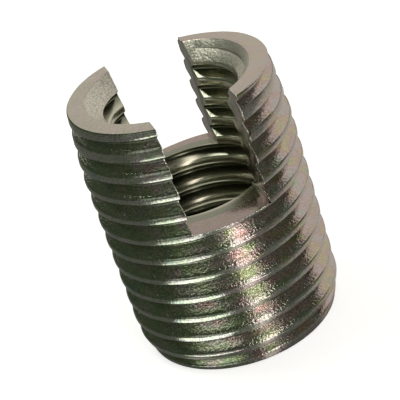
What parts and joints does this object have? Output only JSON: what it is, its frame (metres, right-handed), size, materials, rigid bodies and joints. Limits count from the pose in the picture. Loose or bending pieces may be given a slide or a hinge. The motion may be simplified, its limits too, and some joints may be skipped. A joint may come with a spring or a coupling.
{
  "type": "self-tapping threaded insert",
  "caption": "Slotted self-tapping threaded insert: a steel bush with an external cutting thread and an internal screw thread.",
  "frame": {"origin": "centre of the flat end face that has no slot, on the thread axis", "axes": "+Z along the thread axis, from the flat end towards the slotted cutting end; the slot runs along Y, so the two prongs stand at +X and -X"},
  "size_m": [0.014, 0.014, 0.018],
  "materials": {
    "chromated_zinc": "zinc-plated turned steel with a pale iridescent chromate film"
  },
  "bodies": {
    "root": {"threaded_insert": "chromated_zinc"}
  },
  "joints": []
}
